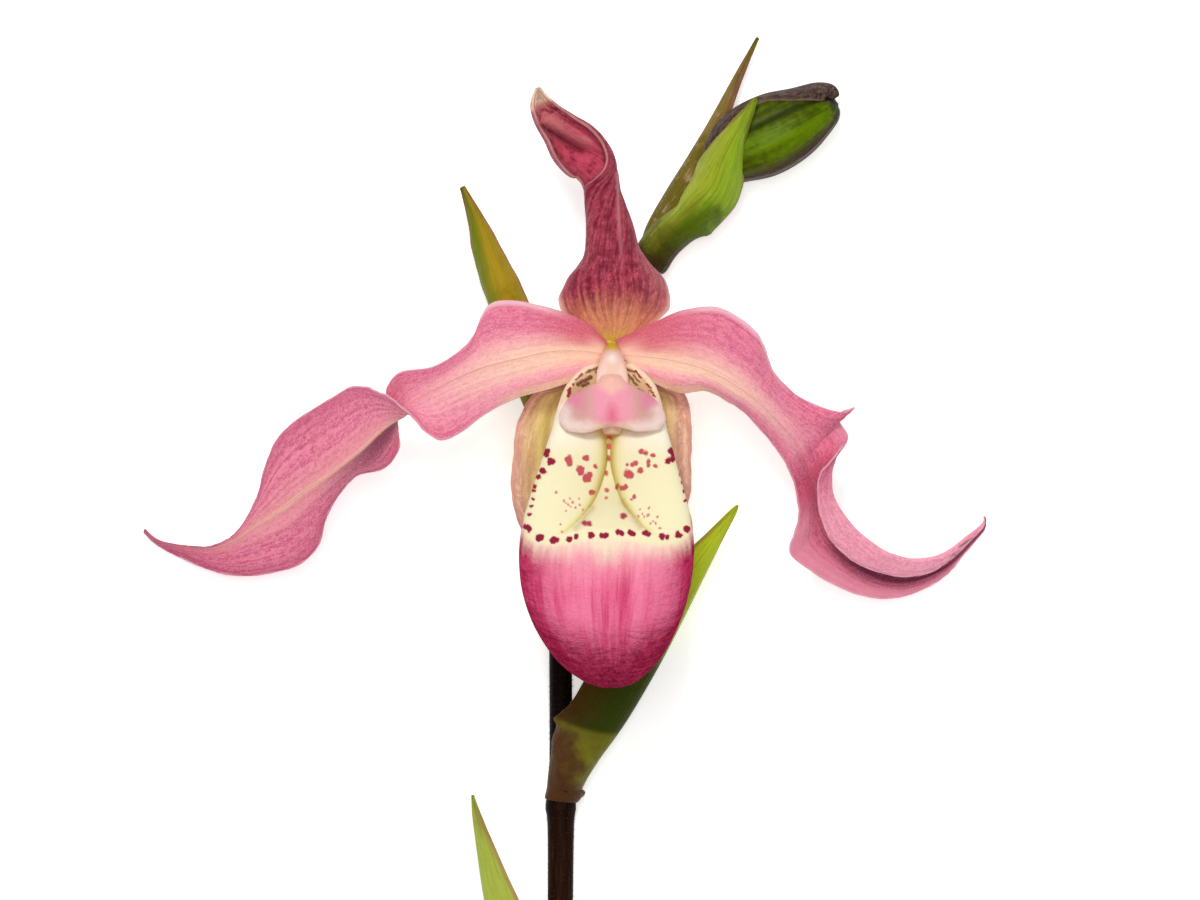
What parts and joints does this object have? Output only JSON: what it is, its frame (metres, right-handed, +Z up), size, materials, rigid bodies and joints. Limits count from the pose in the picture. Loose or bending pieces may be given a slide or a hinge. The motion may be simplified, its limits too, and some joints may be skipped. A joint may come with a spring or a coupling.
{
  "type": "phragmipedium orchid",
  "caption": "Cut flower spike of a slipper orchid lying on its back: open flower with inflated pouch lip, twisted petals, bud and sheathing bracts on a dark stem.",
  "frame": {"origin": "middle of the small flat spot under the sheath of the flower's bract, where the spike rests on the surface", "axes": "+Y along the stem towards the bud, +Z up out of the surface towards the viewer of the open flower, +X to the flower's right as it is looked at"},
  "size_m": [0.1273, 0.1944, 0.0461],
  "materials": {
    "stem": "satin",
    "bract": "satin",
    "ovary": "matte",
    "column": "satin",
    "staminode": "satin",
    "lip": "satin",
    "petal": "matte",
    "dorsal_sepal": "matte",
    "synsepal": "matte",
    "bud_green": "satin",
    "bud_dark": "satin"
  },
  "bodies": {
    "root": {"stem": "stem", "lower_bract": "bract", "stem_bract": "bract", "flower_bract": "bract", "tip_bract": "bract", "bud_bract": "bract", "ovary": "ovary", "column": "column", "staminode": "staminode", "lip": "lip", "petal_left": "petal", "petal_right": "petal", "dorsal_sepal": "dorsal_sepal", "synsepal": "synsepal", "bud_stalk": "ovary", "bud_lower_sepals": "bud_green", "bud_upper_sepal": "bud_dark"}
  },
  "joints": []
}
